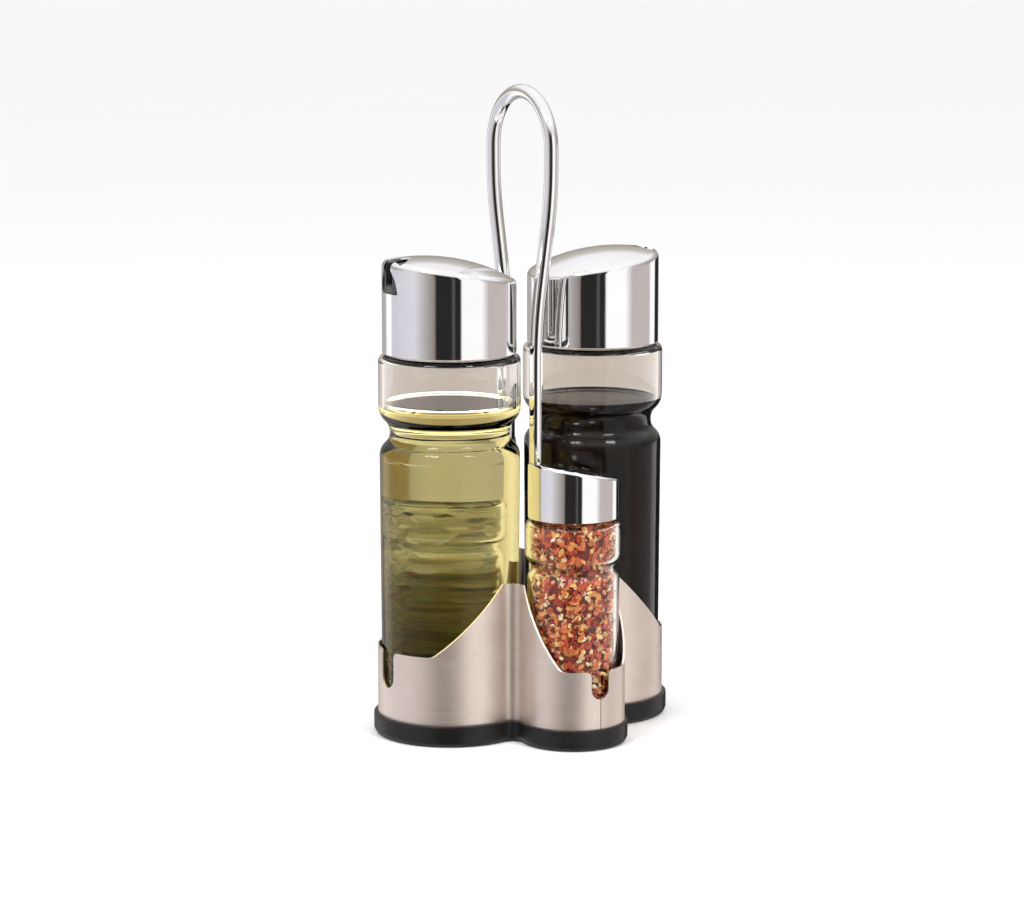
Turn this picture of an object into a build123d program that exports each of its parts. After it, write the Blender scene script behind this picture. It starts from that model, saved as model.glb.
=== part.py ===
"""Cruet set: a four-lobed steel and black stand with a wire handle, two glass
bottles with slanted pouring caps and two glass shakers with slanted caps.

Millimetres, +Z up. The origin is on the table under the middle of the stand.
The bottles stand on the X axis and the shakers on the Y axis.
"""

import os
from dataclasses import dataclass
from math import acos, atan2, cos, hypot, radians, sin

from build123d import *

# ---- Stand, driving dimensions ----
BIG_SEAT_X = 36.0  # centre of a bottle's lobe
SMALL_SEAT_Y = 41.5  # centre of a shaker's lobe
BIG_LOBE_R = 31.1  # outside of the steel band round a bottle
SMALL_LOBE_R = 22.1  # outside of the steel band round a shaker
JUNCTION_R = 5.0  # hollow bend between two lobes
SHEET = 0.8

FOOT_H = 0.6  # pads stand this far out of the tray
FOOT_R = 7.0
FOOT_DEPTH = 1.0  # let into the tray
TRAY_TOP = 9.2
TRAY_BIG_R = 32.9
TRAY_SMALL_R = 23.4
TRAY_JUNCTION_R = 4.0
TRAY_FLOOR = 5.6  # the band stands on it
WELL_FLOOR = 4.0  # the glass stands on it
WELL_GAP = 0.8
BAND_GAP = 0.05

TAB_Z = 68.2  # top of the band at a junction
BIG_LOW_Z = 38.4  # top of the band at the outside of a bottle's lobe
SMALL_LOW_Z = 34.0
LOW_HALF_ANGLE = 46.0  # half the low stretch, seen from the lobe's centre
BIG_NOTCH = (9.7, 22.4)  # width, lowest point
SMALL_NOTCH = (8.8, 21.9)
NOTCH_CORNER = 2.2
SEAM = 0.4

# ---- Handle ----
WIRE_R = 3.0
LEG_Y = 11.5
LOOP_HALF = 23.5  # half the loop's greatest width
LOOP_TOP = 273.2  # centre of the wire at the top
LEG_TOP = 158.2
SWELL_ANGLE = 12.0
SWELL_LOWER_R = 150.0
SWELL_UPPER_R = 120.0
SWELL_RUN = 29.3
BOSS_TOP = 14.0
BOSS_HALF = 6.0
STUD_R = 2.5
STUD_LOW = 1.0
STUD_GAP = 0.15
NUT_ACROSS = 8.0
NUT_LOW = 1.2
NUT_TOP = 5.0
WASHER_R = 5.0
WASHER_TOP = 6.0
NUT_RECESS_R = 5.3


@dataclass
class Vessel:
    """Glass vessel with its seal, stopper or liner, and steel cap."""

    foot_r: float
    shoulder_r: float
    shoulder_z: float
    waist_r: float
    waist_low_z: float
    waist_high_z: float
    collar_r: float
    collar_low_z: float
    collar_top_z: float
    bend_radii: tuple  # foot, shoulder, lower waist, upper waist, under the collar
    neck_r: float
    neck_top_z: float
    wall: float
    floor: float
    cap_r: float
    cap_low_z: float
    cap_rim_z: float  # middle height of the slanted edge
    cap_slant: float  # degrees
    cap_rise: float  # dome above the plane of the slanted edge
    cap_edge_r: float
    plug_r: float
    plug_low_z: float
    plug_bore_r: float
    seal_low_z: float
    seal_h: float
    seal_depth: float


BOTTLE = Vessel(
    foot_r=29.2, shoulder_r=29.9, shoulder_z=123.4,
    waist_r=25.5, waist_low_z=127.5, waist_high_z=133.2,
    collar_r=30.3, collar_low_z=138.2, collar_top_z=163.6,
    bend_radii=(3.5, 7.2, 5.4, 7.2, 8.6),
    neck_r=24.5, neck_top_z=178.5, wall=2.4, floor=6.0,
    cap_r=28.5, cap_low_z=164.6, cap_rim_z=199.1, cap_slant=9.2, cap_rise=5.4, cap_edge_r=3.0,
    plug_r=21.4, plug_low_z=169.5, plug_bore_r=17.5,
    seal_low_z=171.2, seal_h=3.2, seal_depth=2.0,
)
SHAKER = Vessel(
    foot_r=19.3, shoulder_r=19.6, shoulder_z=71.5,
    waist_r=17.75, waist_low_z=74.2, waist_high_z=76.4,
    collar_r=20.2, collar_low_z=79.3, collar_top_z=95.6,
    bend_radii=(2.5, 5.0, 2.8, 2.8, 5.0),
    neck_r=16.0, neck_top_z=107.5, wall=2.0, floor=4.5,
    cap_r=19.2, cap_low_z=96.9, cap_rim_z=116.3, cap_slant=11.8, cap_rise=1.8, cap_edge_r=1.5,
    plug_r=13.4, plug_low_z=100.0, plug_bore_r=11.0,
    seal_low_z=101.6, seal_h=2.4, seal_depth=1.4,
)

COLLAR_EDGE_R = 3.0
LIP_R = 1.0
PUNT = 1.6  # hollow under a glass foot
SHELL = 0.8  # thickness of a steel cap
SHELL_FIT = 0.1  # gap between a cap and what is glued in it
NECK_GAP = 0.6  # gap between a neck and the skirt round it
SEAL_GAP = 0.15
SEAL_TO_GLASS = 0.25
PLATE = 2.5  # top of a stopper, on the rim of the neck
SKIRT_SETBACK = 6.5  # skirt ends above the cap's lower edge

# ---- Pouring notch and spout ----
NOTCH_Z = 190.5
NOTCH_HALF_LOW = 8.8
NOTCH_HALF_MID = 7.0
NOTCH_MID_Z = 196.5
NOTCH_HALF_NECK = 3.6
NOTCH_NECK_Z = 200.6
SLOT_TIP = 17.0  # inner end of the wedge cut in the top
SLOT_BASE = 26.2
SLOT_HALF = 9.4
SPOUT_IN = 8.5
SPOUT_HALF = 10.4
CHANNEL_HALF = 3.6
CHANNEL_FLOOR = 185.5
CHANNEL_STEP = 16.0
CREST_IN = 2.1  # the pouring lip's crest lies this far inside the cap
CREST_Z = 194.4
LIP_DROP = 2.0  # fall of the lip from its crest to the cap
POUR_HOLE_R = 3.0
POUR_HOLE_AT = 12.4
VENT_R = 1.25
VENT_AT = -12.0
SHAKE_HOLE_R = 1.5
SHAKE_RING_R = 6.2
SHAKE_RING_HOLES = 6
TALL = 300.0  # longer than any cut has to be

BIG_SEATS = ((-BIG_SEAT_X, 0.0), (BIG_SEAT_X, 0.0))
SMALL_SEATS = ((0.0, -SMALL_SEAT_Y), (0.0, SMALL_SEAT_Y))
LEGS = ((0.0, -LEG_Y), (0.0, LEG_Y))


# ---- Planes of a seat ----
def level_plane(seat, turn):
    """Level plane at z = 0 whose x runs from the seat's axis towards the angle turn."""
    return Plane(origin=(*seat, 0), x_dir=(cos(radians(turn)), sin(radians(turn)), 0), z_dir=(0, 0, 1))


def upright_plane(seat, turn):
    """Upright plane through the seat's axis: x runs towards turn, y is height."""
    out = (cos(radians(turn)), sin(radians(turn)), 0)
    return Plane(origin=(*seat, 0), x_dir=out, z_dir=(out[1], -out[0], 0))


def facing_plane(seat, turn):
    """Upright plane through the seat's axis, square to turn: y is height."""
    out = (cos(radians(turn)), sin(radians(turn)), 0)
    return Plane(origin=(*seat, 0), x_dir=(-out[1], out[0], 0), z_dir=out)


# ---- Outline of the stand ----
def junction_centre(big_r, small_r, junction_r):
    """Centre of the hollow bend that touches a large and a small lobe, both coordinates positive."""
    apart = hypot(BIG_SEAT_X, SMALL_SEAT_Y)
    to_big = big_r + junction_r
    to_small = small_r + junction_r
    at_big = acos((to_big**2 + apart**2 - to_small**2) / (2 * to_big * apart))
    angle = atan2(SMALL_SEAT_Y, -BIG_SEAT_X) - at_big
    return BIG_SEAT_X + to_big * cos(angle), to_big * sin(angle)


def clover(big_r, small_r, junction_r):
    """Four-lobed outline."""
    bend_x, bend_y = junction_centre(big_r, small_r, junction_r)
    bends = [(-bend_x, -bend_y), (bend_x, -bend_y), (bend_x, bend_y), (-bend_x, bend_y)]
    seats = [SMALL_SEATS[0], BIG_SEATS[1], SMALL_SEATS[1], BIG_SEATS[0]]
    corners = [point for pair in zip(bends, seats) for point in pair]
    with BuildSketch() as outline:
        with BuildLine():
            Polyline(*corners, close=True)
        make_face()
        with Locations(*BIG_SEATS):
            Circle(big_r)
        with Locations(*SMALL_SEATS):
            Circle(small_r)
        with Locations(*bends):
            Circle(junction_r, mode=Mode.SUBTRACT)
    return outline.sketch


def thumb_notch(size, top_z):
    """Round-bottomed notch whose upper corners are rounded, reaching above top_z."""
    width, low_z = size
    half = width / 2
    mouth = 2 * (half + NOTCH_CORNER)
    with BuildSketch() as notch:
        with Locations((0, top_z - NOTCH_CORNER)):
            Rectangle(mouth, 2 * NOTCH_CORNER, align=(Align.CENTER, Align.MIN))
        with Locations((-mouth / 2, top_z - NOTCH_CORNER), (mouth / 2, top_z - NOTCH_CORNER)):
            Circle(NOTCH_CORNER, mode=Mode.SUBTRACT)
        with Locations((0, low_z + half)):
            Circle(half)
            Rectangle(width, top_z - low_z, align=(Align.CENTER, Align.MIN))
    return notch.sketch


def scallop(seat_at, lobe_r, low_z, tab_at):
    """What is cut off the band beside a lobe: level outside, then sloping up to the tab."""
    low_at = seat_at + lobe_r * cos(radians(LOW_HALF_ANGLE))
    beyond = seat_at + 2 * lobe_r
    with BuildSketch() as cut:
        with BuildLine():
            FilletPolyline(
                (tab_at, TALL), (tab_at, TAB_Z), (low_at, low_z), (beyond, low_z), (beyond, TALL),
                close=True, radius=(0.0, 0.0, 3.0, 0.0, 0.0),
            )
        make_face()
    return cut.sketch


# ---- Stand ----
with BuildPart() as base_tray:
    with BuildSketch(Plane.XY.offset(FOOT_H)):
        add(clover(TRAY_BIG_R, TRAY_SMALL_R, TRAY_JUNCTION_R))
    extrude(amount=TRAY_TOP - FOOT_H)
    fillet(base_tray.faces().sort_by(Axis.Z)[0].outer_wire().edges(), 2.2)
    fillet(base_tray.faces().sort_by(Axis.Z)[-1].outer_wire().edges(), 0.6)
    with BuildSketch(Plane.XY.offset(TRAY_FLOOR)):
        add(clover(BIG_LOBE_R + BAND_GAP, SMALL_LOBE_R + BAND_GAP, JUNCTION_R - BAND_GAP))
    extrude(amount=TRAY_TOP, mode=Mode.SUBTRACT)
    with BuildSketch(Plane.XY.offset(WELL_FLOOR)):
        with Locations(*BIG_SEATS):
            Circle(BOTTLE.foot_r + WELL_GAP)
        with Locations(*SMALL_SEATS):
            Circle(SHAKER.foot_r + WELL_GAP)
    extrude(amount=TRAY_TOP, mode=Mode.SUBTRACT)
    with BuildSketch(Plane.XY.offset(TRAY_FLOOR)):
        SlotCenterToCenter(2 * LEG_Y, 2 * BOSS_HALF, rotation=90)
    extrude(amount=BOSS_TOP - TRAY_FLOOR)
    with BuildSketch(Plane.XY.offset(WELL_FLOOR)):
        SlotCenterToCenter(2 * LEG_Y, 2 * BOSS_HALF, rotation=90)
    extrude(amount=TRAY_FLOOR - WELL_FLOOR)
    with BuildSketch(Plane.XY):
        with Locations(*LEGS):
            Circle(STUD_R + STUD_GAP)
    extrude(amount=TALL, mode=Mode.SUBTRACT)
    with BuildSketch(Plane.XY):
        with Locations(*LEGS):
            Circle(NUT_RECESS_R)
    extrude(amount=WASHER_TOP, mode=Mode.SUBTRACT)
    with BuildSketch(Plane.XY):
        with Locations(*BIG_SEATS, *SMALL_SEATS):
            Circle(FOOT_R + STUD_GAP)
    extrude(amount=FOOT_H + FOOT_DEPTH, mode=Mode.SUBTRACT)
base_tray.part.label = "base_tray"

junction_x, junction_y = junction_centre(BIG_LOBE_R, SMALL_LOBE_R, JUNCTION_R)
big_share = BIG_LOBE_R / (BIG_LOBE_R + JUNCTION_R)
small_share = SMALL_LOBE_R / (SMALL_LOBE_R + JUNCTION_R)
tab_x = BIG_SEAT_X + (junction_x - BIG_SEAT_X) * big_share
tab_y = SMALL_SEAT_Y + (junction_y - SMALL_SEAT_Y) * small_share

with BuildPart() as sleeve_band:
    with BuildSketch(Plane.XY.offset(TRAY_FLOOR)):
        add(clover(BIG_LOBE_R, SMALL_LOBE_R, JUNCTION_R))
    extrude(amount=TAB_Z - TRAY_FLOOR)
    with BuildSketch(Plane.XY.offset(TRAY_FLOOR)):
        add(clover(BIG_LOBE_R - SHEET, SMALL_LOBE_R - SHEET, JUNCTION_R + SHEET))
    extrude(amount=TAB_Z - TRAY_FLOOR, mode=Mode.SUBTRACT)
    for turn in (0, 180):
        with BuildSketch(upright_plane((0, 0), turn)):
            add(scallop(BIG_SEAT_X, BIG_LOBE_R, BIG_LOW_Z, tab_x))
        extrude(amount=TALL, both=True, mode=Mode.SUBTRACT)
        with BuildSketch(facing_plane((0, 0), turn)):
            add(thumb_notch(BIG_NOTCH, BIG_LOW_Z))
        extrude(amount=TALL, mode=Mode.SUBTRACT)
    for turn in (90, 270):
        with BuildSketch(upright_plane((0, 0), turn)):
            add(scallop(SMALL_SEAT_Y, SMALL_LOBE_R, SMALL_LOW_Z, tab_y))
        extrude(amount=TALL, both=True, mode=Mode.SUBTRACT)
        with BuildSketch(facing_plane((0, 0), turn)):
            add(thumb_notch(SMALL_NOTCH, SMALL_LOW_Z))
        extrude(amount=TALL, mode=Mode.SUBTRACT)
    with BuildSketch(Plane.XY):
        with Locations((0, -SMALL_SEAT_Y)):
            Rectangle(SEAM, 2 * SMALL_LOBE_R, align=(Align.CENTER, Align.MAX))
    extrude(amount=SMALL_LOW_Z, mode=Mode.SUBTRACT)
sleeve_band.part.label = "sleeve_band"

with BuildPart() as carry_handle:
    with BuildLine(Plane.YZ) as route:
        near_leg = Line((-LEG_Y, BOSS_TOP), (-LEG_Y, LEG_TOP))
        near_out = JernArc(near_leg @ 1, near_leg % 1, SWELL_LOWER_R, SWELL_ANGLE)
        near_run = Line(near_out @ 1, near_out @ 1 + (near_out % 1) * SWELL_RUN)
        near_in = JernArc(near_run @ 1, near_run % 1, SWELL_UPPER_R, -SWELL_ANGLE)
        near_side = Line(near_in @ 1, (-LOOP_HALF, LOOP_TOP - LOOP_HALF))
        ThreePointArc(near_side @ 1, (0, LOOP_TOP), (LOOP_HALF, LOOP_TOP - LOOP_HALF))
        mirror(near_side)
        mirror(near_in)
        mirror(near_run)
        mirror(near_out)
        mirror(near_leg)
    with BuildSketch(Plane(origin=(0, -LEG_Y, BOSS_TOP))):
        Circle(WIRE_R)
    sweep(path=route.wires()[0])
    with BuildSketch(Plane.XY.offset(STUD_LOW)):
        with Locations(*LEGS):
            Circle(STUD_R)
    extrude(amount=BOSS_TOP - STUD_LOW)
    chamfer(carry_handle.faces().group_by(Axis.Z)[0].edges(), 0.4)
carry_handle.part.label = "carry_handle"

with BuildPart() as handle_washers:
    with BuildSketch(Plane.XY.offset(NUT_TOP)):
        with Locations(*LEGS):
            Circle(WASHER_R)
            Circle(STUD_R + STUD_GAP, mode=Mode.SUBTRACT)
    extrude(amount=WASHER_TOP - NUT_TOP)
handle_washers.part.label = "handle_washers"

with BuildPart() as handle_nuts:
    with BuildSketch(Plane.XY.offset(NUT_LOW)):
        with Locations(*LEGS):
            RegularPolygon(NUT_ACROSS / 2, 6, major_radius=False)
            Circle(STUD_R, mode=Mode.SUBTRACT)
    extrude(amount=NUT_TOP - NUT_LOW)
handle_nuts.part.label = "handle_nuts"

with BuildPart() as foot_pads:
    with BuildSketch(Plane.XY):
        with Locations(*BIG_SEATS, *SMALL_SEATS):
            Circle(FOOT_R)
    extrude(amount=FOOT_H + FOOT_DEPTH)
    chamfer(foot_pads.faces().group_by(Axis.Z)[0].edges(), 0.3)
foot_pads.part.label = "foot_pads"


# ---- Glass ----
def glass_outline(vessel):
    """Whole section of a vessel's outside, both sides of its axis, up to the rim of its neck."""
    with BuildSketch() as outline:
        with BuildLine():
            side = FilletPolyline(
                (0, WELL_FLOOR),
                (vessel.foot_r, WELL_FLOOR),
                (vessel.shoulder_r, vessel.shoulder_z),
                (vessel.waist_r, vessel.waist_low_z),
                (vessel.waist_r, vessel.waist_high_z),
                (vessel.collar_r, vessel.collar_low_z),
                (vessel.collar_r, vessel.collar_top_z),
                (vessel.neck_r, vessel.collar_top_z),
                (vessel.neck_r, vessel.neck_top_z),
                (0, vessel.neck_top_z),
                radius=(*vessel.bend_radii, COLLAR_EDGE_R, LIP_R, LIP_R),
            )
            mirror(side, about=Plane.YZ)
        make_face()
    return outline.sketch


def glass_hollow(vessel):
    """Whole section of a vessel's inside, with the mouth open."""
    with BuildSketch() as hollow:
        add(glass_outline(vessel))
        offset(amount=-vessel.wall, mode=Mode.REPLACE)
        with Locations((0, vessel.neck_top_z - 3 * vessel.wall)):
            Rectangle(2 * (vessel.neck_r - vessel.wall), 6 * vessel.wall, align=(Align.CENTER, Align.MIN))
        with Locations((0, WELL_FLOOR + vessel.floor)):
            Rectangle(TALL, TALL, align=(Align.CENTER, Align.MAX), mode=Mode.SUBTRACT)
    return hollow.sketch


def punt(vessel):
    """Section of the shallow hollow under a vessel's foot."""
    rim = vessel.foot_r - 2 * vessel.bend_radii[0]
    with BuildSketch() as hollow:
        with BuildLine():
            ThreePointArc((-rim, WELL_FLOOR), (0, WELL_FLOOR + PUNT), (rim, WELL_FLOOR))
            Line((rim, WELL_FLOOR), (-rim, WELL_FLOOR))
        make_face()
    return hollow.sketch


def build_glass(vessel, seat):
    """Turned glass wall, open at the neck, with a thick hollowed foot."""
    section = upright_plane(seat, 0)
    axis = Axis((*seat, 0), (0, 0, 1))
    far_side = (Align.MAX, Align.CENTER)
    with BuildPart() as glass:
        with BuildSketch(section):
            add(glass_outline(vessel))
            Rectangle(TALL, 2 * TALL, align=far_side, mode=Mode.SUBTRACT)
        revolve(axis=axis)
        with BuildSketch(section):
            add(glass_hollow(vessel))
            add(punt(vessel))
            Rectangle(TALL, 2 * TALL, align=far_side, mode=Mode.SUBTRACT)
        revolve(axis=axis, mode=Mode.SUBTRACT)
    return glass.part


# ---- Steel caps ----
def build_cap_form(vessel, seat, turn, inset):
    """Solid with a cap's outside, or its inside if inset: a cylinder under a slanted dome."""
    dome_r = (vessel.cap_r**2 + vessel.cap_rise**2) / (2 * vessel.cap_rise)
    sink = vessel.cap_rise - dome_r
    slant = radians(vessel.cap_slant)
    upright = upright_plane(seat, turn)
    dome_centre = upright.from_local_coords((-sin(slant) * sink, vessel.cap_rim_z + cos(slant) * sink, 0))
    with BuildPart(mode=Mode.PRIVATE) as form:
        with BuildSketch(level_plane(seat, turn).offset(vessel.cap_low_z)):
            Circle(vessel.cap_r - inset)
        extrude(amount=TALL / 4)
        with Locations(dome_centre):
            Sphere(dome_r - inset, rotation=(90, 0, 0), mode=Mode.INTERSECT)
        fillet(form.faces().filter_by(GeomType.SPHERE).edges(), vessel.cap_edge_r - inset)
    return form.part


def build_cap_shell(vessel, seat, turn):
    """Thin steel shell, open below."""
    outside = build_cap_form(vessel, seat, turn, 0)
    inside = build_cap_form(vessel, seat, turn, SHELL)
    return outside - inside


def build_pouring_cap(vessel, seat, turn):
    """Shell with a pouring notch at the high side: a flared window joined to a wedge cut in the top."""
    shell = build_cap_shell(vessel, seat, turn)
    with BuildPart() as cap:
        add(shell)
        with BuildSketch(facing_plane(seat, turn).offset(vessel.cap_r * 0.8)):
            with BuildLine():
                FilletPolyline(
                    (-NOTCH_HALF_NECK, TALL),
                    (-NOTCH_HALF_NECK, NOTCH_NECK_Z),
                    (-NOTCH_HALF_MID, NOTCH_MID_Z),
                    (-NOTCH_HALF_LOW, NOTCH_Z),
                    (NOTCH_HALF_LOW, NOTCH_Z),
                    (NOTCH_HALF_MID, NOTCH_MID_Z),
                    (NOTCH_HALF_NECK, NOTCH_NECK_Z),
                    (NOTCH_HALF_NECK, TALL),
                    close=True, radius=(0.0, 1.5, 3.0, 0.8, 0.8, 3.0, 1.5, 0.0),
                )
            make_face()
        extrude(amount=vessel.cap_r, mode=Mode.SUBTRACT)
        with BuildSketch(level_plane(seat, turn).offset(NOTCH_NECK_Z - 1)):
            with BuildLine():
                FilletPolyline(
                    (SLOT_TIP, 0), (SLOT_BASE - 2, -SLOT_HALF), (SLOT_BASE, -SLOT_HALF),
                    (SLOT_BASE, SLOT_HALF), (SLOT_BASE - 2, SLOT_HALF),
                    close=True, radius=0.6,
                )
            make_face()
        extrude(amount=TALL, mode=Mode.SUBTRACT)
    return cap.part


def build_shaking_cap(vessel, seat, turn):
    """Shell with a ring of shaking holes and one in the middle."""
    shell = build_cap_shell(vessel, seat, turn)
    with BuildPart() as cap:
        add(shell)
        with BuildSketch(level_plane(seat, turn).offset(vessel.neck_top_z)):
            Circle(SHAKE_HOLE_R)
            with PolarLocations(SHAKE_RING_R, SHAKE_RING_HOLES):
                Circle(SHAKE_HOLE_R)
        extrude(amount=TALL, mode=Mode.SUBTRACT)
    return cap.part


# ---- Stoppers, liners and seals ----
def stopper_half(vessel):
    """Half section of a stopper: skirt, plate on the neck's rim, plug with a seal groove."""
    skirt_r = vessel.cap_r - SHELL - SHELL_FIT
    skirt_in = vessel.neck_r + NECK_GAP
    skirt_low = vessel.cap_low_z + SKIRT_SETBACK
    plate_low = vessel.neck_top_z
    groove_r = vessel.plug_r - vessel.seal_depth
    with BuildSketch() as half:
        with BuildLine():
            Polyline(
                (vessel.plug_bore_r, vessel.plug_low_z),
                (vessel.plug_r, vessel.plug_low_z),
                (vessel.plug_r, vessel.seal_low_z),
                (groove_r, vessel.seal_low_z),
                (groove_r, vessel.seal_low_z + vessel.seal_h),
                (vessel.plug_r, vessel.seal_low_z + vessel.seal_h),
                (vessel.plug_r, plate_low),
                (skirt_in, plate_low),
                (skirt_in, skirt_low),
                (skirt_r, skirt_low),
                (skirt_r, plate_low + PLATE),
                (vessel.plug_bore_r, plate_low + PLATE),
                close=True,
            )
        make_face()
    return half.sketch


def build_liner(vessel, seat, turn):
    """Open liner of a shaker's cap."""
    with BuildPart() as liner:
        with BuildSketch(upright_plane(seat, turn)):
            add(stopper_half(vessel))
        revolve(axis=Axis((*seat, 0), (0, 0, 1)))
    return liner.part


def build_pourer(vessel, seat, turn):
    """Stopper of a pouring cap: the plate is closed, and a spout with a channel stands on it."""
    plate_low = vessel.neck_top_z
    level = level_plane(seat, turn)
    with BuildPart() as spout:
        add(build_cap_form(vessel, seat, turn, SHELL + SHELL_FIT))
        with BuildSketch(level.offset(plate_low + PLATE)):
            with Locations((SPOUT_IN + TALL / 2, 0)):
                Rectangle(TALL, 2 * SPOUT_HALF)
        extrude(amount=TALL, mode=Mode.INTERSECT)
    with BuildPart() as pourer:
        with BuildSketch(upright_plane(seat, turn)):
            add(stopper_half(vessel))
        revolve(axis=Axis((*seat, 0), (0, 0, 1)))
        with BuildSketch(level.offset(plate_low)):
            Circle(vessel.plug_bore_r)
        extrude(amount=PLATE)
        add(spout.part)
        with BuildSketch(upright_plane(seat, turn)):
            with BuildLine():
                Polyline(
                    (SPOUT_IN + 1.6, plate_low + PLATE),
                    (CHANNEL_STEP, plate_low + PLATE),
                    (CHANNEL_STEP, CHANNEL_FLOOR),
                    (vessel.cap_r - CREST_IN, CREST_Z),
                    (vessel.cap_r, CREST_Z - LIP_DROP),
                    (vessel.cap_r, TALL),
                    (SPOUT_IN + 1.6, TALL),
                    close=True,
                )
            make_face()
        extrude(amount=CHANNEL_HALF, both=True, mode=Mode.SUBTRACT)
        with BuildSketch(level):
            with Locations((POUR_HOLE_AT, 0)):
                Circle(POUR_HOLE_R)
            with Locations((VENT_AT, 0)):
                Circle(VENT_R)
        extrude(amount=plate_low + 2 * PLATE, mode=Mode.SUBTRACT)
    return pourer.part


def build_seal(vessel, seat):
    """Soft ring in the stopper's groove, just clear of the glass."""
    inner = vessel.plug_r - vessel.seal_depth + SEAL_GAP
    outer = vessel.neck_r - vessel.wall - SEAL_TO_GLASS
    with BuildPart() as seal:
        with BuildSketch(Plane(origin=(*seat, vessel.seal_low_z + SEAL_GAP))):
            Circle(outer)
            Circle(inner, mode=Mode.SUBTRACT)
        extrude(amount=vessel.seal_h - 2 * SEAL_GAP)
        outer_face = seal.faces().filter_by(GeomType.CYLINDER).sort_by(SortBy.AREA)[-1]
        fillet(outer_face.edges().filter_by(GeomType.CIRCLE), 0.6)
    return seal.part


# name of the glass, first word of its other pieces, vessel, seat, direction of the cap's high side
SETS = (
    ("oil_bottle", "oil", BOTTLE, BIG_SEATS[0], 173.0),
    ("vinegar_bottle", "vinegar", BOTTLE, BIG_SEATS[1], -14.0),
    ("front_shaker_jar", "front_shaker", SHAKER, SMALL_SEATS[0], 180.0),
    ("rear_shaker_jar", "rear_shaker", SHAKER, SMALL_SEATS[1], 0.0),
)

pieces = [
    base_tray.part,
    sleeve_band.part,
    carry_handle.part,
    handle_washers.part,
    handle_nuts.part,
    foot_pads.part,
]
for glass_name, word, vessel, seat, turn in SETS:
    glass = build_glass(vessel, seat)
    glass.label = glass_name
    seal = build_seal(vessel, seat)
    seal.label = word + "_seal_ring"
    if vessel is BOTTLE:
        stopper = build_pourer(vessel, seat, turn)
        stopper.label = word + "_pourer"
        cap = build_pouring_cap(vessel, seat, turn)
    else:
        stopper = build_liner(vessel, seat, turn)
        stopper.label = word + "_liner"
        cap = build_shaking_cap(vessel, seat, turn)
    cap.label = word + "_cap"
    pieces += [glass, seal, stopper, cap]

os.makedirs("parts", exist_ok=True)
for piece in pieces:
    export_step(piece, "parts/" + piece.label + ".step")
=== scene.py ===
"""Looks of the cruet set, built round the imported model.

Every CAD piece keeps its shape and gets its finish here.
What the vessels hold is made here: oil, vinegar, chilli flakes and coarse salt.
Metres, +Z up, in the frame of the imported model.
"""

from math import cos, pi, radians, sin, sqrt

import bmesh
import bpy
import numpy as np
from mathutils import Euler, Matrix, Vector
from mathutils.bvhtree import BVHTree


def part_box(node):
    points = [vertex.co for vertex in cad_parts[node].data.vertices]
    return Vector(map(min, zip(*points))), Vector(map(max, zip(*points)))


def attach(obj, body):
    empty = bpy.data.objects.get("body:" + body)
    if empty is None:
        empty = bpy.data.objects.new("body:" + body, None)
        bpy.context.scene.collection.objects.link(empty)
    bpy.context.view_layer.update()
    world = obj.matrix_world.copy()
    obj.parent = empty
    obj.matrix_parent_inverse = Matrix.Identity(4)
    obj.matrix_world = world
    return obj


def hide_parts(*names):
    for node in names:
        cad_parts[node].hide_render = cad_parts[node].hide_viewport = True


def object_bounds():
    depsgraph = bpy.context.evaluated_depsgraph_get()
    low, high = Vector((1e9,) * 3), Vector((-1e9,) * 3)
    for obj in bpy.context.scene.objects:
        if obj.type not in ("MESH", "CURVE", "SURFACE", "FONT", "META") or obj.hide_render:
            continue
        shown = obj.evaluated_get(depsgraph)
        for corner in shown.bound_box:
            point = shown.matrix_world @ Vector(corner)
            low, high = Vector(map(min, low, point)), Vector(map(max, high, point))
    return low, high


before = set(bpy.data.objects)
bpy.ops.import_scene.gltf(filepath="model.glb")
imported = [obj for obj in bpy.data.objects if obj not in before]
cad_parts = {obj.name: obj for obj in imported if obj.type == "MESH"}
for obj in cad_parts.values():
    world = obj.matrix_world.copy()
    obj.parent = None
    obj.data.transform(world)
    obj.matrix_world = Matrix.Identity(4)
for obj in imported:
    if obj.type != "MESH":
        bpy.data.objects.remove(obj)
cad_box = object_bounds()

# ---- Camera ----
CAMERA_TURN = radians(-31.5)  # round the Z axis, 0 looks along +Y
CAMERA_DISTANCE = 1.4266  # from the Z axis
CAMERA_HEIGHT = 0.3539
CAMERA_PITCH = radians(9.429)
CAMERA_YAW = radians(0.171)
CAMERA_LENS = 117.93  # millimetres, on the 36 mm sensor
LIGHT_BOUNCES = 28  # enough to pass the oil bottle and the rear jar, and come back

# ---- What the vessels hold ----
OIL_LEVEL = 0.1426
VINEGAR_LEVEL = 0.1390
FLAKE_LEVEL = 0.0985
SALT_LEVEL = 0.0975
MENISCUS_RISE = 0.0012
MENISCUS_WIDTH = 0.0030
WALL_LAP = 0.0001  # the vinegar reaches this far into the glass, so that no air shows between them
OIL_GAP = 0.00006  # the oil stays this far inside the glass, whose wetted wall bends no light
OIL_SKIN = 0.0004  # depth of the oil's surface piece
OIL_DENSITY = 26.0  # of the oil's colour, per metre
TOP_SHARE = 0.12  # of the flakes or grains, how many lie on top
SEED_SHARE = 0.24  # of the chilli pieces, how many are seeds
WALL_SPREAD = 0.0012  # how far in from the glass the other pieces lie, as a standard deviation
SOUNDINGS = 12  # directions in which a vessel's inside is measured
SOUNDING_TURN = 0.03  # keeps those directions, in radians, off the edges of the mesh


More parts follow.
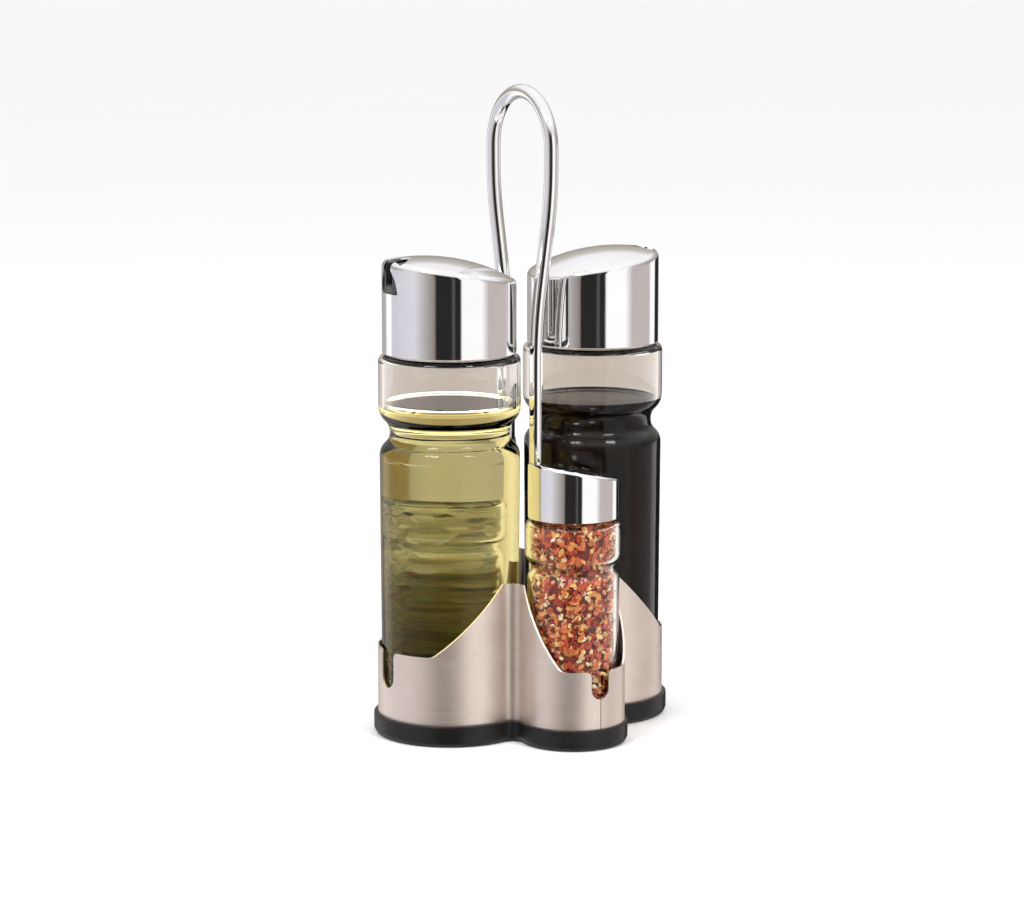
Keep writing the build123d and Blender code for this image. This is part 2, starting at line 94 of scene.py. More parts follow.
# ---- Node trees ----
class Tree:
    """A node tree, with a short call for each node that the finishes use."""

    def __init__(self, tree):
        self.tree = tree
        tree.nodes.clear()

    def add(self, kind, settings=None, **inputs):
        node = self.tree.nodes.new(kind)
        for name, value in (settings or {}).items():
            setattr(node, name, value)
        for name, value in inputs.items():
            self.put(node.inputs[name.replace("_", " ")], value)
        return node

    def put(self, socket, value):
        if isinstance(value, bpy.types.NodeSocket):
            self.tree.links.new(value, socket)
        else:
            socket.default_value = value

    def place(self):
        """Where a point is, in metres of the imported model's frame."""
        return self.add("ShaderNodeTexCoord").outputs["Object"]

    def stretched(self, vector, scale):
        node = self.add("ShaderNodeMapping", Vector=vector)
        node.inputs["Scale"].default_value = scale
        return node.outputs["Vector"]

    def noise(self, vector, scale, detail=3.0, roughness=0.5):
        node = self.add("ShaderNodeTexNoise", Vector=vector, Scale=scale, Detail=detail)
        node.inputs["Roughness"].default_value = roughness
        return node.outputs["Fac"]

    def math(self, operation, first, second=0.0, clamp=False):
        node = self.add("ShaderNodeMath", {"operation": operation, "use_clamp": clamp})
        self.put(node.inputs[0], first)
        self.put(node.inputs[1], second)
        return node.outputs[0]

    def vector_math(self, operation, first, second):
        node = self.add("ShaderNodeVectorMath", {"operation": operation})
        self.put(node.inputs[0], first)
        self.put(node.inputs[1], second)
        return node.outputs["Value" if operation == "DOT_PRODUCT" else "Vector"]

    def spread(self, value, low, high, to_low=0.0, to_high=1.0):
        """value from low..high onto to_low..to_high, held at the ends."""
        node = self.add("ShaderNodeMapRange", Value=value)
        for name, number in zip(("From Min", "From Max", "To Min", "To Max"), (low, high, to_low, to_high)):
            node.inputs[name].default_value = number
        return node.outputs["Result"]

    def ramp(self, factor, stops, interpolation="LINEAR"):
        """Colours by place: stops is a list of (place, colour or grey)."""
        node = self.add("ShaderNodeValToRGB", Fac=factor)
        node.color_ramp.interpolation = interpolation
        elements = node.color_ramp.elements
        while len(elements) < len(stops):
            elements.new(1.0)
        for element, (place, colour) in zip(elements, stops):
            element.position = place
            element.color = grey(colour) if isinstance(colour, float) else (*colour, 1.0)
        return node.outputs["Color"]

    def mix(self, factor, first, second):
        node = self.add("ShaderNodeMix", {"data_type": "RGBA"})
        self.put(node.inputs[0], factor)
        self.put(node.inputs[6], first if not isinstance(first, tuple) else (*first, 1.0)[:4])
        self.put(node.inputs[7], second if not isinstance(second, tuple) else (*second, 1.0)[:4])
        return node.outputs[2]

    def bump(self, height, distance, strength=1.0, normal=None):
        node = self.add("ShaderNodeBump", Height=height, Distance=distance, Strength=strength)
        if normal is not None:
            self.put(node.inputs["Normal"], normal)
        return node.outputs["Normal"]

    def rounded(self, radius):
        """Normals as if every edge were rounded by radius."""
        node = self.add("ShaderNodeBevel", {"samples": 6})
        node.inputs["Radius"].default_value = radius
        return node.outputs["Normal"]

    def edges(self, radius):
        """1 on edges, 0 on flat or smooth stretches."""
        true_normal = self.add("ShaderNodeNewGeometry").outputs["Normal"]
        same = self.vector_math("DOT_PRODUCT", self.rounded(radius), true_normal)
        return self.spread(same, 0.985, 0.85)


def grey(level):
    return (level, level, level, 1.0)


def finish_material(name, build):
    """A material whose surface is one Principled shader; build(tree, shader) fills it in."""
    made = bpy.data.materials.new(name)
    made.use_nodes = True
    tree = Tree(made.node_tree)
    output = tree.add("ShaderNodeOutputMaterial")
    shader = tree.add("ShaderNodeBsdfPrincipled")
    tree.put(output.inputs["Surface"], shader.outputs[0])
    volume = build(tree, shader)
    if volume is not None:
        tree.put(output.inputs["Volume"], volume)
    return made


def set_inputs(tree, shader, **inputs):
    for name, value in inputs.items():
        tree.put(shader.inputs[name.replace("_", " ")], value)


# ---- Finishes ----
def polished_steel(name, tint, base_roughness):
    """Mirror-polished steel: faint round polishing marks, soft smudges, a breath of colour and edges painted
    paler as a highlight.
    """

    def build(tree, shader):
        place = tree.place()
        smudge = tree.noise(place, 55.0, 4.0, 0.6)
        marks = tree.noise(tree.stretched(place, (30.0, 30.0, 2600.0)), 1.0, 2.0, 0.6)
        ripple = tree.noise(place, 38.0, 1.0)
        darker = tuple(0.93 * c for c in tint)
        colour = tree.mix(tree.spread(smudge, 0.3, 0.7), darker, tint)
        # Painted highlight: the edges are painted paler.
        colour = tree.mix(tree.edges(0.0004), colour, (0.97, 0.96, 0.95))
        rough = tree.math(
            "ADD", tree.spread(smudge, 0.35, 0.75, base_roughness, base_roughness + 0.05),
            tree.spread(marks, 0.4, 0.7, 0.0, 0.03),
        )
        shape = tree.bump(ripple, 0.00012, 0.35)
        shape = tree.bump(marks, 0.000004, 0.5, shape)
        set_inputs(tree, shader, Base_Color=colour, Metallic=1.0, Roughness=rough, Normal=shape)

    return finish_material(name, build)


def satin_steel(name):
    """Sheet steel brushed round the band: fine level scratches, streaks along them, a steel tone warmed by
    painted reflection, and cut edges painted bright as a highlight.
    """

    def build(tree, shader):
        place = tree.place()
        scratches = tree.noise(tree.stretched(place, (40.0, 40.0, 9000.0)), 1.0, 3.0, 0.7)
        streaks = tree.noise(tree.stretched(place, (14.0, 14.0, 420.0)), 1.0, 3.0, 0.6)
        cloud = tree.noise(place, 42.0, 3.0)
        # Steel tone warmed pink-brown: partly the steel's own colour, partly a painted reflection of brown
        # surroundings.
        steel_tone_and_painted_reflection = tree.mix(tree.spread(cloud, 0.3, 0.7), (0.72, 0.59, 0.50), (0.82, 0.70, 0.62))
        steel_tone_and_painted_reflection = tree.mix(tree.spread(streaks, 0.25, 0.75, 0.0, 0.35), steel_tone_and_painted_reflection, (0.86, 0.80, 0.76))
        # Painted highlight: the cut edges are painted near white.
        colour = tree.mix(tree.edges(0.0004), steel_tone_and_painted_reflection, (0.95, 0.93, 0.91))
        rough = tree.math(
            "ADD", tree.spread(streaks, 0.2, 0.8, 0.30, 0.40), tree.spread(cloud, 0.3, 0.7, 0.0, 0.05)
        )
        shape = tree.bump(scratches, 0.000012, 0.5)
        normal = tree.add("ShaderNodeNewGeometry").outputs["Normal"]
        along = tree.vector_math("CROSS_PRODUCT", normal, (0.0, 0.0, 1.0))
        set_inputs(
            tree, shader, Base_Color=colour, Metallic=0.82, Roughness=rough, Normal=shape,
            Anisotropic=0.5, Tangent=along,
        )

    return finish_material(name, build)


def moulded_plastic(name, tint, roughness, grain, gloss=0.5):
    """Moulded plastic: fine grain, uneven sheen, edges made paler in patches."""

    def build(tree, shader):
        place = tree.place()
        fine = tree.noise(place, 2600.0, 2.0)
        cloud = tree.noise(place, 60.0, 4.0, 0.6)
        paler = tuple(1.6 * c + 0.006 for c in tint)
        paler_edge_tone = tuple(2.6 * c + 0.03 for c in tint)
        colour = tree.mix(tree.spread(cloud, 0.3, 0.75), tint, paler)
        # Edges made paler, in patches.
        paler_edge_patches = tree.math("MULTIPLY", tree.edges(0.0006), tree.spread(cloud, 0.35, 0.65, 0.1, 0.8))
        colour = tree.mix(paler_edge_patches, colour, paler_edge_tone)
        rough = tree.spread(cloud, 0.3, 0.7, roughness, roughness + 0.12)
        shape = tree.bump(fine, grain, 0.6, tree.rounded(0.0004))
        set_inputs(tree, shader, Base_Color=colour, Roughness=rough, Normal=shape)
        shader.inputs["Specular IOR Level"].default_value = gloss

    return finish_material(name, build)


def soft_rubber(name, tint, scatter):
    """Rubber or silicone: matt, with a fine tooth and dusty patches."""

    def build(tree, shader):
        place = tree.place()
        tooth = tree.noise(place, 3200.0, 3.0)
        dust = tree.noise(place, 120.0, 4.0, 0.65)
        paler = tuple(min(1.0, 1.25 * c + 0.02) for c in tint)
        colour = tree.mix(tree.spread(dust, 0.4, 0.75), tint, paler)
        rough = tree.spread(dust, 0.3, 0.7, 0.55, 0.8)
        shape = tree.bump(tooth, 0.00003, 0.5, tree.rounded(0.0003))
        set_inputs(tree, shader, Base_Color=colour, Roughness=rough, Normal=shape, Subsurface_Weight=scatter)
        shader.inputs["Subsurface Scale"].default_value = 0.001

    return finish_material(name, build)


def plated_steel(name):
    """Zinc-plated nuts and washers: dull, mottled, brighter at the corners."""

    def build(tree, shader):
        place = tree.place()
        mottle = tree.noise(place, 700.0, 4.0, 0.6)
        colour = tree.mix(tree.spread(mottle, 0.3, 0.7), (0.48, 0.49, 0.50), (0.66, 0.65, 0.62))
        colour = tree.mix(tree.edges(0.0003), colour, (0.85, 0.85, 0.84))
        rough = tree.spread(mottle, 0.3, 0.7, 0.28, 0.42)
        shape = tree.bump(mottle, 0.00003, 0.4)
        set_inputs(tree, shader, Base_Color=colour, Metallic=1.0, Roughness=rough, Normal=shape)

    return finish_material(name, build)


def clear_glass(name):
    """Pressed glass: slow waves in its walls, faint handling marks, a trace of green in depth."""

    def build(tree, shader):
        place = tree.place()
        waves = tree.noise(tree.stretched(place, (1.0, 1.0, 0.45)), 48.0, 1.0)
        marks = tree.noise(place, 140.0, 5.0, 0.7)
        colour = tree.mix(tree.spread(marks, 0.45, 0.8), (0.995, 0.995, 0.995), (0.965, 0.97, 0.965))
        rough = tree.spread(marks, 0.55, 0.85, 0.0, 0.06)
        shape = tree.bump(waves, 0.0004, 0.25)
        set_inputs(tree, shader, Base_Color=colour, Roughness=rough, Normal=shape)
        shader.inputs["IOR"].default_value = 1.5
        shader.inputs["Specular Tint"].default_value = (0.3, 0.3, 0.3, 1.0)
        shader.inputs["Transmission Weight"].default_value = 1.0
        depth = tree.add("ShaderNodeVolumeAbsorption")
        depth.inputs["Color"].default_value = (0.72, 0.86, 0.78, 1.0)
        depth.inputs["Density"].default_value = 7.0
        return depth.outputs[0]

    return finish_material(name, build)


def wetted_glass(name):
    """Glass with liquid against it, which neither bends nor mirrors light."""

    def build(tree, shader):
        marks = tree.noise(tree.place(), 140.0, 5.0, 0.7)
        colour = tree.mix(tree.spread(marks, 0.45, 0.8), (1.0, 1.0, 1.0), (0.98, 0.98, 0.975))
        set_inputs(tree, shader, Base_Color=colour, Roughness=0.0)
        shader.inputs["IOR"].default_value = 1.0
        shader.inputs["Transmission Weight"].default_value = 1.0

    return finish_material(name, build)


def clear_liquid(name, ior, colour, density):
    """A see-through liquid whose colour comes from its depth."""

    def build(tree, shader):
        place = tree.place()
        streaks = tree.noise(tree.stretched(place, (1.0, 1.0, 0.3)), 30.0, 2.0)
        tint = tree.mix(streaks, (1.0, 0.995, 0.97), (0.99, 0.97, 0.92))
        shape = tree.bump(streaks, 0.0002, 0.1)
        set_inputs(tree, shader, Base_Color=tint, Roughness=0.0, Normal=shape)
        shader.inputs["IOR"].default_value = ior
        shader.inputs["Transmission Weight"].default_value = 1.0
        depth = tree.add("ShaderNodeVolumeAbsorption")
        depth.inputs["Color"].default_value = (*colour, 1.0)
        depth.inputs["Density"].default_value = density
        return depth.outputs[0]

    return finish_material(name, build)


def dark_vinegar(name):
    """Nearly opaque dark vinegar, with slow brown clouds in it."""

    def build(tree, shader):
        place = tree.place()
        cloud = tree.noise(tree.stretched(place, (1.0, 1.0, 0.4)), 45.0, 3.0)
        tint = tree.mix(tree.spread(cloud, 0.35, 0.75), (0.003, 0.0025, 0.002), (0.013, 0.007, 0.004))
        set_inputs(tree, shader, Base_Color=tint, Roughness=tree.spread(cloud, 0.3, 0.7, 0.06, 0.12))
        shader.inputs["IOR"].default_value = 1.15

    return finish_material(name, build)


def grain_material(name, stops, roughness, translucence):
    """Flakes or grains: each has its own colour, by its own number, with blotches and an uneven face."""

    def build(tree, shader):
        place = tree.place()
        own = tree.add("ShaderNodeAttribute", {"attribute_name": "tone"}).outputs["Fac"]
        blotch = tree.noise(place, 900.0, 3.0, 0.6)
        at = tree.math("ADD", own, tree.spread(blotch, 0.2, 0.8, -0.07, 0.07), clamp=True)
        colour = tree.ramp(at, stops)
        rough = tree.spread(blotch, 0.3, 0.7, roughness, roughness + 0.2)
        shape = tree.bump(blotch, 0.00015, 0.5)
        set_inputs(tree, shader, Base_Color=colour, Roughness=rough, Normal=shape)
        shader.inputs["Subsurface Weight"].default_value = translucence
        shader.inputs["Subsurface Scale"].default_value = 0.001

    return finish_material(name, build)


FINISHES = {
    "base_plastic": moulded_plastic("base_plastic_finish", (0.009, 0.0085, 0.008), 0.30, 0.00002, 0.22),
    "sleeve_steel": satin_steel("sleeve_steel_finish"),
    "handle_steel": polished_steel("handle_steel_finish", (0.88, 0.87, 0.86), 0.03),
    "fastener_steel": plated_steel("fastener_steel_finish"),
    "foot_rubber": soft_rubber("foot_rubber_finish", (0.030, 0.030, 0.031), 0.0),
    "clear_glass": clear_glass("clear_glass_finish"),
    "seal_rubber": soft_rubber("seal_rubber_finish", (0.78, 0.78, 0.76), 0.3),
    "pourer_plastic": moulded_plastic("pourer_plastic_finish", (0.010, 0.010, 0.010), 0.18, 0.000008),
    "liner_plastic": moulded_plastic("liner_plastic_finish", (0.60, 0.60, 0.58), 0.35, 0.00001),
    "cap_steel": polished_steel("cap_steel_finish", (0.90, 0.89, 0.885), 0.035),
}


def dress_cad_nodes():
    """Gives every CAD node the finish of its slot."""
    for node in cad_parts.values():
        for holder in node.material_slots:
            slot = holder.material.name.split(".")[0]
            if slot not in FINISHES:
                raise SystemExit("no finish for material " + holder.material.name)
            holder.material = FINISHES[slot]


dress_cad_nodes()


# ---- Vessels and what they hold ----
class Vessel:
    """The inside of a glass node, measured from its mesh."""

    def __init__(self, node):
        low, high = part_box(node)
        self.centre = (low + high) / 2
        self.top = high.z
        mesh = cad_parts[node].data
        points = [v.co.copy() for v in mesh.vertices]
        self.tree = BVHTree.FromPolygons(points, [tuple(p.vertices) for p in mesh.polygons])
        seen = self.tree.ray_cast(Vector((self.centre.x, self.centre.y, self.top)), Vector((0, 0, -1)))
        self.floor = seen[0].z

    def inner_radius(self, z):
        """Largest inner radius at height z, over a few directions."""
        start = Vector((self.centre.x, self.centre.y, z))
        found = []
        for k in range(SOUNDINGS):
            angle = k * 2 * pi / SOUNDINGS + SOUNDING_TURN
            hit = self.tree.ray_cast(start, Vector((cos(angle), sin(angle), 0.0)))
            found.append((hit[0] - start).length)
        return max(found)


def lathe(name, profile, centre, segments, material):
    """Turned closed body: profile is a list of (radius, z) from the axis below to the axis above."""
    mesh = bpy.data.meshes.new(name)
    builder = bmesh.new()
    rings = []
    for radius, z in profile:
        if radius < 1e-7:
            rings.append([builder.verts.new((centre.x, centre.y, z))])
            continue
        ring = []
        for k in range(segments):
            angle = 2 * pi * k / segments
            at = (centre.x + radius * cos(angle), centre.y + radius * sin(angle), z)
            ring.append(builder.verts.new(at))
        rings.append(ring)
    for lower, upper in zip(rings, rings[1:]):
        for k in range(segments):
            n = (k + 1) % segments
            if len(lower) == 1:
                builder.faces.new((lower[0], upper[n], upper[k]))
            elif len(upper) == 1:
                builder.faces.new((lower[k], lower[n], upper[0]))
            else:
                builder.faces.new((lower[k], lower[n], upper[n], upper[k]))
    builder.normal_update()
    for face in builder.faces:
        face.smooth = True
    builder.to_mesh(mesh)
    builder.free()
    made = bpy.data.objects.new(name, mesh)
    bpy.context.scene.collection.objects.link(made)
    mesh.materials.append(material)
    return made


def liquid_profile(vessel, level, lap):
    """Outline of a liquid that fills a vessel to level, with a rim drawn up the glass."""
    floor = vessel.floor
    corner = 0.0008
    step = 0.0008
    edge = vessel.inner_radius(floor + corner) + lap
    outline = [(0.0, floor - lap), (0.5 * edge, floor - lap), (edge - corner, floor - lap)]
    top = level + MENISCUS_RISE
    rows = int((top - floor - corner) / step)
    for k in range(rows + 1):
        z = floor + corner + (top - floor - corner) * k / rows
        outline.append((vessel.inner_radius(z) + lap, z))
    rim = outline[-1][0]
    curve = 8
    for k in range(1, curve + 1):
        share = k / curve
        outline.append((rim - lap - MENISCUS_WIDTH * share, level + MENISCUS_RISE * (1 - share) ** 2.5))
    outline += [(0.6 * rim, level), (0.3 * rim, level), (0.0, level)]
    return outline


def pour(name, node, body, level, material, lap):
    vessel = Vessel(node)
    made = lathe(name, liquid_profile(vessel, level, lap), vessel.centre, 192, material)
    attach(made, body)


def skin_profile(vessel, level, gap, depth):
    """Outline of the thin top layer of a liquid, whose rim is drawn up the glass."""
    top = [(r, z) for r, z in liquid_profile(vessel, level, -gap) if z >= level][::-1]
    curve = [(r, z) for r, z in top if r <= vessel.inner_radius(level + MENISCUS_RISE) - gap]
    under = [(r - 0.3 * depth if r > depth else r, z - depth) for r, z in curve]
    return under + curve[::-1]


def wet_bottle(name, node, body, level):
    """The bottle's own shape with its inner wall wetted up to level, where it meets the liquid."""
    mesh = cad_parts[node].data.copy()
    mesh.name = name
    made = bpy.data.objects.new(name, mesh)
    bpy.context.scene.collection.objects.link(made)
    mesh.materials.clear()
    mesh.materials.append(FINISHES["clear_glass"])
    mesh.materials.append(wetted_glass("wetted_glass_look"))
    vessel = Vessel(node)
    for face in mesh.polygons:
        out = face.center - vessel.centre
        inner = out.x * face.normal.x + out.y * face.normal.y < 0
        floor = face.normal.z > 0.9 and face.center.z < vessel.floor + 0.002
        face.material_index = 1 if (inner or floor) and face.center.z < level else 0
    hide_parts(node)
    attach(made, body)


wet_bottle("oil_bottle_glass", "oil_bottle", "oil_bottle", OIL_LEVEL + MENISCUS_RISE)
oil = clear_liquid("oil_look", 1.0, (0.80, 0.66, 0.04), OIL_DENSITY)
oil_surface = clear_liquid("oil_surface_look", 1.47, (0.80, 0.66, 0.10), OIL_DENSITY)
vinegar = dark_vinegar("vinegar_look")
pour("oil_fill", "oil_bottle", "oil_bottle", OIL_LEVEL - OIL_SKIN, oil, -OIL_GAP)
pour("vinegar_fill", "vinegar_bottle", "vinegar_bottle", VINEGAR_LEVEL, vinegar, WALL_LAP)
oil_vessel = Vessel("oil_bottle")
oil_skin = lathe(
    "oil_skin", skin_profile(oil_vessel, OIL_LEVEL, OIL_GAP, OIL_SKIN), oil_vessel.centre, 192, oil_surface
)
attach(oil_skin, "oil_bottle")


# ---- Flakes and grains ----
def chip_points(rng, long, wide, thick):
    """Top and bottom outline of one curled, ragged chip about its own middle."""
    count = 6
    turn = rng.uniform(0, 2 * pi)
    curl = rng.uniform(-0.5, 0.9)
    points = []
    for k in range(count):
        angle = turn + 2 * pi * k / count
        reach = rng.uniform(0.68, 1.0)
        x = long / 2 * reach * cos(angle)
        y = wide / 2 * reach * sin(angle)
        lift = curl * (x * x) / long
        points.append((x, y, lift))
    return [(x, y, z + thick / 2) for x, y, z in points] + [(x, y, z - thick / 2) for x, y, z in points]


def chip_faces(first, count):
    """Faces of a chip whose points start at first: two lids and the sides between them."""
    top = tuple(first + k for k in range(count))
    bottom = tuple(first + count + k for k in reversed(range(count)))
    sides = [
        (first + k, first + count + k, first + count + (k + 1) % count, first + (k + 1) % count)
        for k in range(count)
    ]
    return [top, bottom, *sides]


def block_points(rng, size):
    """Corners of one crystal, a cube with uneven sides."""
    points = []
    for z in (0.5, -0.5):
        for x, y in ((-0.5, -0.5), (0.5, -0.5), (0.5, 0.5), (-0.5, 0.5)):
            points.append(tuple(size * (c + rng.uniform(-0.09, 0.09)) for c in (x, y, z)))
    return points


def fill_vessel(name, node, body, level, seed, count, shape, material, reach, core_material):
    """Packs a vessel's inside, close to the glass and on top, with small pieces round a lumpy core."""
    rng = np.random.default_rng(seed)
    vessel = Vessel(node)
    vertices, faces, tones = [], [], []
    floor = vessel.floor + reach
    for _ in range(count):
        z = rng.uniform(floor, level)
        limit = vessel.inner_radius(z) - reach
        if rng.uniform() < TOP_SHARE:
            z = level + rng.uniform(-0.002, 0.0005)
            radius = limit * sqrt(rng.uniform(0, 1))
        else:
            radius = limit - abs(rng.normal(0, WALL_SPREAD))
        angle = rng.uniform(0, 2 * pi)
        points, corners, tone = shape(rng)
        lean = Euler((rng.normal(0, 0.55), rng.normal(pi / 2, 0.5), 0.0)).to_matrix()
        spin = Matrix.Rotation(rng.uniform(0, 2 * pi), 3, "Z")
        facing = Matrix.Rotation(angle, 3, "Z")
        at = Vector((vessel.centre.x + radius * cos(angle), vessel.centre.y + radius * sin(angle), z))
        first = len(vertices)
        for point in points:
            vertices.append(at + facing @ (lean @ (spin @ Vector(point))))
        faces += chip_faces(first, corners)
        tones += [tone] * len(points)
    mesh = bpy.data.meshes.new(name)
    mesh.from_pydata([tuple(v) for v in vertices], [], faces)
    mesh.attributes.new("tone", "FLOAT", "POINT").data.foreach_set("value", tones)
    mesh.materials.append(material)
    made = bpy.data.objects.new(name, mesh)
    bpy.context.scene.collection.objects.link(made)
    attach(made, body)

    core_gap = reach + 0.0014
    rows = 60
    top = level - 0.0015
    bottom = vessel.floor + 0.001
    outline = [(0.0, bottom)]
    for k in range(rows + 1):
        z = bottom + (top - bottom) * k / rows
        outline.append((vessel.inner_radius(z) - core_gap, z))
    outline.append((0.0, top))
    core = lathe(name + "_core", outline, vessel.centre, 96, core_material)
    for vertex in core.data.vertices:
        away = Vector((vertex.co.x - vessel.centre.x, vertex.co.y - vessel.centre.y, 0.0))
        if away.length > 0.001:
            vertex.co -= away.normalized() * rng.uniform(0, 0.0009)
    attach(core, body)


def chilli_piece(rng):
    """A flake of skin, or about one in four times a pale seed."""
    if rng.uniform() < SEED_SHARE:
        tone = rng.uniform(0.80, 1.0)
        return chip_points(rng, rng.uniform(0.0022, 0.0030), rng.uniform(0.0019, 0.0024), 0.0005), 6, tone
    tone = min(0.78, abs(rng.normal(0.44, 0.22)))
    long = rng.uniform(0.0024, 0.0054)
    return chip_points(rng, long, long * rng.uniform(0.45, 0.85), 0.00028), 6, tone


def salt_piece(rng):
    return block_points(rng, rng.uniform(0.0012, 0.0022)), 4, rng.uniform(0, 1)


chilli = grain_material(
    "chilli_look",
    [
        (0.0, (0.10, 0.010, 0.008)), (0.2, (0.34, 0.030, 0.018)), (0.42, (0.62, 0.10, 0.045)),
        (0.6, (0.80, 0.28, 0.08)), (0.76, (0.90, 0.48, 0.14)), (0.86, (0.95, 0.70, 0.32)),
        (1.0, (0.97, 0.86, 0.60)),
    ],
    0.32, 0.15,
)
salt = grain_material("salt_look", [(0.0, (0.90, 0.90, 0.89)), (1.0, (0.97, 0.97, 0.96))], 0.25, 0.4)
chilli_core = grain_material(
    "chilli_core_look", [(0.0, (0.22, 0.03, 0.015)), (1.0, (0.5, 0.12, 0.04))], 0.6, 0.0
)
salt_core = grain_material("salt_core_look", [(0.0, (0.85, 0.85, 0.84)), (1.0, (0.93, 0.93, 0.92))], 0.6, 0.0)

fill_vessel(
    "chilli_flakes", "front_shaker_jar", "front_shaker", FLAKE_LEVEL, 7, 4600, chilli_piece, chilli,
    0.0010, chilli_core,
)
fill_vessel(
    "salt_grains", "rear_shaker_jar", "rear_shaker", SALT_LEVEL, 11, 4200, salt_piece, salt,
    0.0013, salt_core,
)


# ---- Studio ----
def add_floor():
    """Plain pale floor, wide enough to run out of view."""
    bpy.ops.mesh.primitive_circle_add(vertices=128, radius=16.0, fill_type="NGON", location=(0.0, 0.0, 0.0))
    floor = bpy.context.object
    floor.name = "floor"

    def build(tree, shader):
        cloud = tree.noise(tree.place(), 3.0, 3.0)
        colour = tree.mix(cloud, (0.955, 0.955, 0.95), (0.97, 0.97, 0.965))
        set_inputs(tree, shader, Base_Color=colour, Roughness=0.9)
        shader.inputs["Specular IOR Level"].default_value = 0.0

    floor.data.materials.append(finish_material("floor_look", build))
    floor.visible_glossy = False
    floor.visible_transmission = False


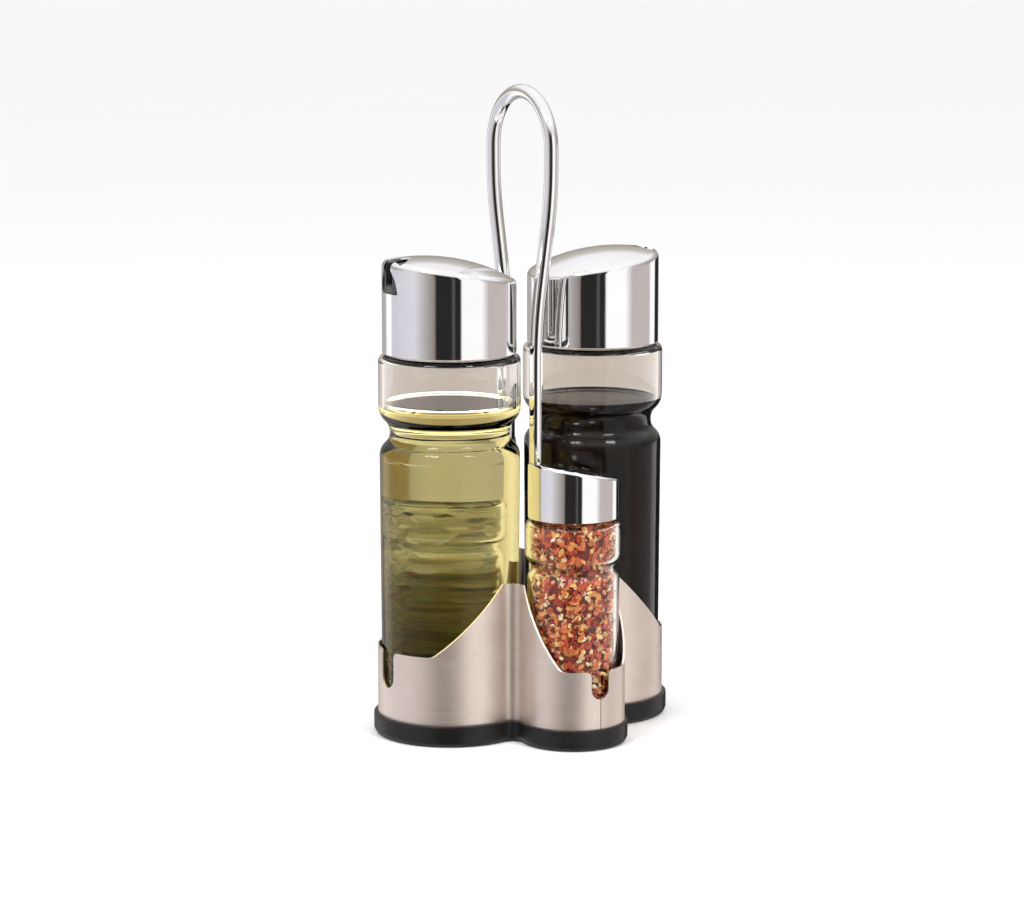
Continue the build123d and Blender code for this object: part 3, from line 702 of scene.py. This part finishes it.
def studio_world():
    """Three surroundings: one that surfaces mirror, one seen through glass and a plain backdrop."""
    world = bpy.data.worlds.new("studio")
    bpy.context.scene.world = world
    world.use_nodes = True
    tree = Tree(world.node_tree)
    direction = tree.add("ShaderNodeTexCoord").outputs["Generated"]
    towards = (sin(CAMERA_TURN), -cos(CAMERA_TURN), 0.0)
    right = (cos(CAMERA_TURN), sin(CAMERA_TURN), 0.0)
    ahead = tree.vector_math("DOT_PRODUCT", direction, towards)
    aside = tree.vector_math("DOT_PRODUCT", direction, right)
    around = tree.spread(tree.math("ARCTAN2", aside, ahead), -pi, pi)
    height = tree.vector_math("DOT_PRODUCT", direction, (0.0, 0.0, 1.0))

    def at(degrees):
        return (degrees + 180.0) / 360.0

    black, white = (0.022, 0.020, 0.020), (1.0, 1.0, 1.0)
    lavender, blush, brown = (0.60, 0.59, 0.66), (0.52, 0.47, 0.46), (0.26, 0.22, 0.20)
    panels = tree.ramp(around, [
        (0.0, (0.35, 0.34, 0.33)), (at(-140), (0.42, 0.41, 0.40)), (at(-134), white), (at(-118), white),
        (at(-113), lavender), (at(-60), (0.70, 0.69, 0.74)), (at(-46), (0.50, 0.50, 0.50)), (at(-24), brown),
        (at(-21), black), (at(4), black), (at(9), (0.10, 0.10, 0.10)), (at(12), (0.02, 0.02, 0.02)),
        (at(20), black), (at(23), white), (at(58), white), (at(72), blush), (at(116), blush),
        (at(121), white), (at(136), white), (at(139), black), (at(163), black), (at(166), (0.5, 0.5, 0.5)),
        (1.0, (0.35, 0.34, 0.33)),
    ])
    sky = tree.ramp(tree.spread(height, 0.0, 1.0), [
        (0.0, (0.30, 0.28, 0.24)), (0.15, (0.36, 0.34, 0.30)), (0.35, (0.50, 0.47, 0.43)),
        (0.42, (0.62, 0.60, 0.58)), (0.48, (0.84, 0.83, 0.87)), (0.7, (0.93, 0.93, 0.94)), (1.0, white),
    ])
    behind_lift = tree.spread(height, -0.02, 0.05)
    front_lift = tree.spread(height, 0.32, 0.55)
    front = tree.spread(ahead, -0.25, 0.25)
    lifted = tree.math(
        "ADD", tree.math("MULTIPLY", front, front_lift),
        tree.math("MULTIPLY", tree.math("SUBTRACT", 1.0, front), behind_lift),
    )
    mirrored = tree.mix(lifted, panels, sky)
    side, front_tone = (1.25, 1.21, 1.16), (0.50, 0.45, 0.40)
    rear, far_rear = (0.58, 0.51, 0.46), (0.50, 0.43, 0.37)
    through = tree.ramp(around, [
        (0.0, far_rear), (at(-155), rear), (at(-125), side), (at(-70), side), (at(-20), front_tone),
        (at(20), front_tone), (at(70), side), (at(125), side), (at(155), rear), (1.0, far_rear),
    ])
    through = tree.mix(tree.spread(height, 0.2, 0.5), through, (3.2, 3.1, 3.0))
    rays = tree.add("ShaderNodeLightPath").outputs
    seen = tree.mix(rays["Is Transmission Ray"], mirrored, through)
    lit = tree.add("ShaderNodeBackground", Color=seen, Strength=1.15)
    pale = tree.add("ShaderNodeBackground", Color=(0.985, 0.985, 0.985, 1.0), Strength=1.0)
    camera_ray = rays["Is Camera Ray"]
    both = tree.add("ShaderNodeMixShader")
    tree.put(both.inputs[0], camera_ray)
    tree.put(both.inputs[1], lit.outputs[0])
    tree.put(both.inputs[2], pale.outputs[0])
    output = tree.add("ShaderNodeOutputWorld")
    tree.put(output.inputs["Surface"], both.outputs[0])


def add_softbox(name, turn, rise, distance, size, power):
    """Rectangular lamp aimed at the middle of the set.

    turn and rise are in degrees, seen from there, distance and size in metres, power in watts.
    """
    low, high = cad_box
    target = (low + high) / 2
    lamp = bpy.data.lights.new(name, "AREA")
    lamp.shape = "RECTANGLE"
    lamp.size, lamp.size_y = size
    lamp.energy = power
    holder = bpy.data.objects.new(name, lamp)
    bpy.context.scene.collection.objects.link(holder)
    around = CAMERA_TURN + radians(turn)
    away = Vector((
        sin(around) * cos(radians(rise)), -cos(around) * cos(radians(rise)), sin(radians(rise)),
    ))
    holder.location = target + away * distance
    holder.rotation_euler = away.to_track_quat("Z", "Y").to_euler()
    holder.visible_camera = False


def add_camera():
    camera = bpy.data.objects.new("camera", bpy.data.cameras.new("camera"))
    bpy.context.scene.collection.objects.link(camera)
    camera.location = (
        sin(CAMERA_TURN) * CAMERA_DISTANCE, -cos(CAMERA_TURN) * CAMERA_DISTANCE, CAMERA_HEIGHT,
    )
    camera.rotation_euler = Euler((pi / 2 - CAMERA_PITCH, 0.0, CAMERA_TURN + CAMERA_YAW))
    camera.data.lens = CAMERA_LENS
    camera.data.clip_end = 100.0
    bpy.context.scene.camera = camera


add_floor()
studio_world()
add_softbox("key_softbox", -38.0, 48.0, 1.5, (0.45, 0.30), 9.0)
add_softbox("fill_softbox", 42.0, 50.0, 1.5, (0.35, 0.30), 7.0)
add_camera()
bpy.context.scene.view_settings.view_transform = "Standard"
bpy.context.scene.cycles.max_bounces = LIGHT_BOUNCES
bpy.context.scene.cycles.transmission_bounces = LIGHT_BOUNCES
